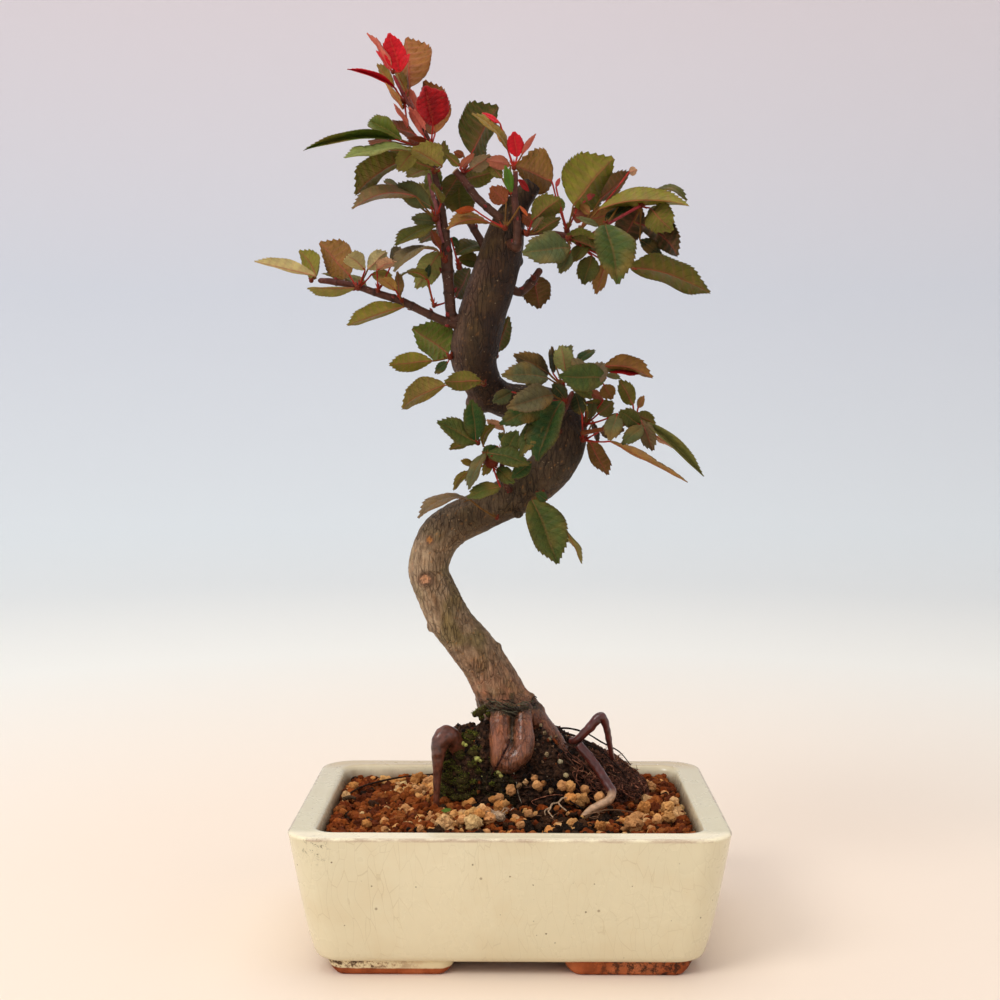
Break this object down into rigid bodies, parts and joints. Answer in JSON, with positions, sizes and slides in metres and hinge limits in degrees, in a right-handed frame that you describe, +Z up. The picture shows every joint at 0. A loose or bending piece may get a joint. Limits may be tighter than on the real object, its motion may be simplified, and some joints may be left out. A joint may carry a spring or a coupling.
{
  "type": "apple bonsai",
  "caption": "Small apple tree with an S-shaped trunk, leafy shoots and surface roots, growing from a mossy mound in a rectangular cream glazed pot.",
  "frame": {"origin": "bottom centre of the whole tree and pot's box, on the surface the pot stands on", "axes": "+Z up, +X to the viewer's right seen from the front of the pot, +Y to the back"},
  "size_m": [0.1778, 0.12, 0.3522],
  "materials": {
    "glazed_clay": "cream glaze, satin, fine crackle, bare terracotta feet",
    "bark": "rough grey-brown bark",
    "shoot_bark": "smooth maroon-brown young bark",
    "root": "smooth reddish root skin",
    "soil": "matte baked clay grains",
    "root_soil": "matte fibrous dark soil",
    "moss": "soft matte moss",
    "leaf": "satin leaf skin",
    "young_leaf": "satin red young leaf skin",
    "screen": "matte",
    "wire": "satin"
  },
  "bodies": {
    "root": {"drain_screen_left": "screen", "drain_screen_right": "screen", "leaf_bud_tall_tip": "young_leaf", "leaf_pair_left_inner": "leaf", "leaf_pair_left_mid": "leaf", "leaf_pair_left_tip": "leaf", "leaf_pair_trunk_front": "leaf", "leaf_single_elbow": "leaf", "leaf_single_right_back": "leaf", "leaf_single_trunk_back": "leaf", "leaf_spray_bend_front": "leaf", "leaf_spray_bend_inner": "leaf", "leaf_spray_bend_low": "leaf", "leaf_spray_bend_outer": "leaf", "leaf_spray_bend_top": "leaf", "leaf_spray_bend_upper": "leaf", "leaf_spray_hanging": "leaf", "leaf_spray_leader_low": "leaf", "leaf_spray_leader_mid": "leaf", "leaf_spray_leader_tip": "young_leaf", "leaf_spray_left_low": "leaf", "leaf_spray_left_outer": "leaf", "leaf_spray_mid_front": "leaf", "leaf_spray_mid_left": "leaf", "leaf_spray_mid_upper": "leaf", "leaf_spray_right_end": "leaf", "leaf_spray_right_front": "leaf", "leaf_spray_right_high": "leaf", "leaf_spray_right_inner": "leaf", "leaf_spray_right_low": "leaf", "leaf_spray_right_top": "leaf", "leaf_spray_stump": "leaf", "leaf_spray_tall_left": "leaf", "leaf_spray_tall_mid": "leaf", "leaf_spray_tall_node": "leaf", "leaf_spray_tall_red": "young_leaf", "leaf_spray_tall_right": "leaf", "leaf_spray_tall_second": "leaf", "leaf_spray_tall_top": "young_leaf", "leaf_spray_trunk_left": "leaf", "leaf_spray_upper_left": "leaf", "moss_cushion": "moss", "pot": "glazed_clay", "root_ball": "root_soil", "root_left_knee": "root", "root_right_loop": "root", "screen_clip_left": "wire", "screen_clip_right": "wire", "soil_bed": "soil", "stem_back_branch": "shoot_bark", "stem_leader": "shoot_bark", "stem_left_branch": "shoot_bark", "stem_mid": "shoot_bark", "stem_right": "shoot_bark", "stem_right_low": "shoot_bark", "stem_spur_low": "shoot_bark", "stem_tall_left": "shoot_bark", "stem_upper_left": "shoot_bark", "trunk": "bark"}
  },
  "joints": []
}
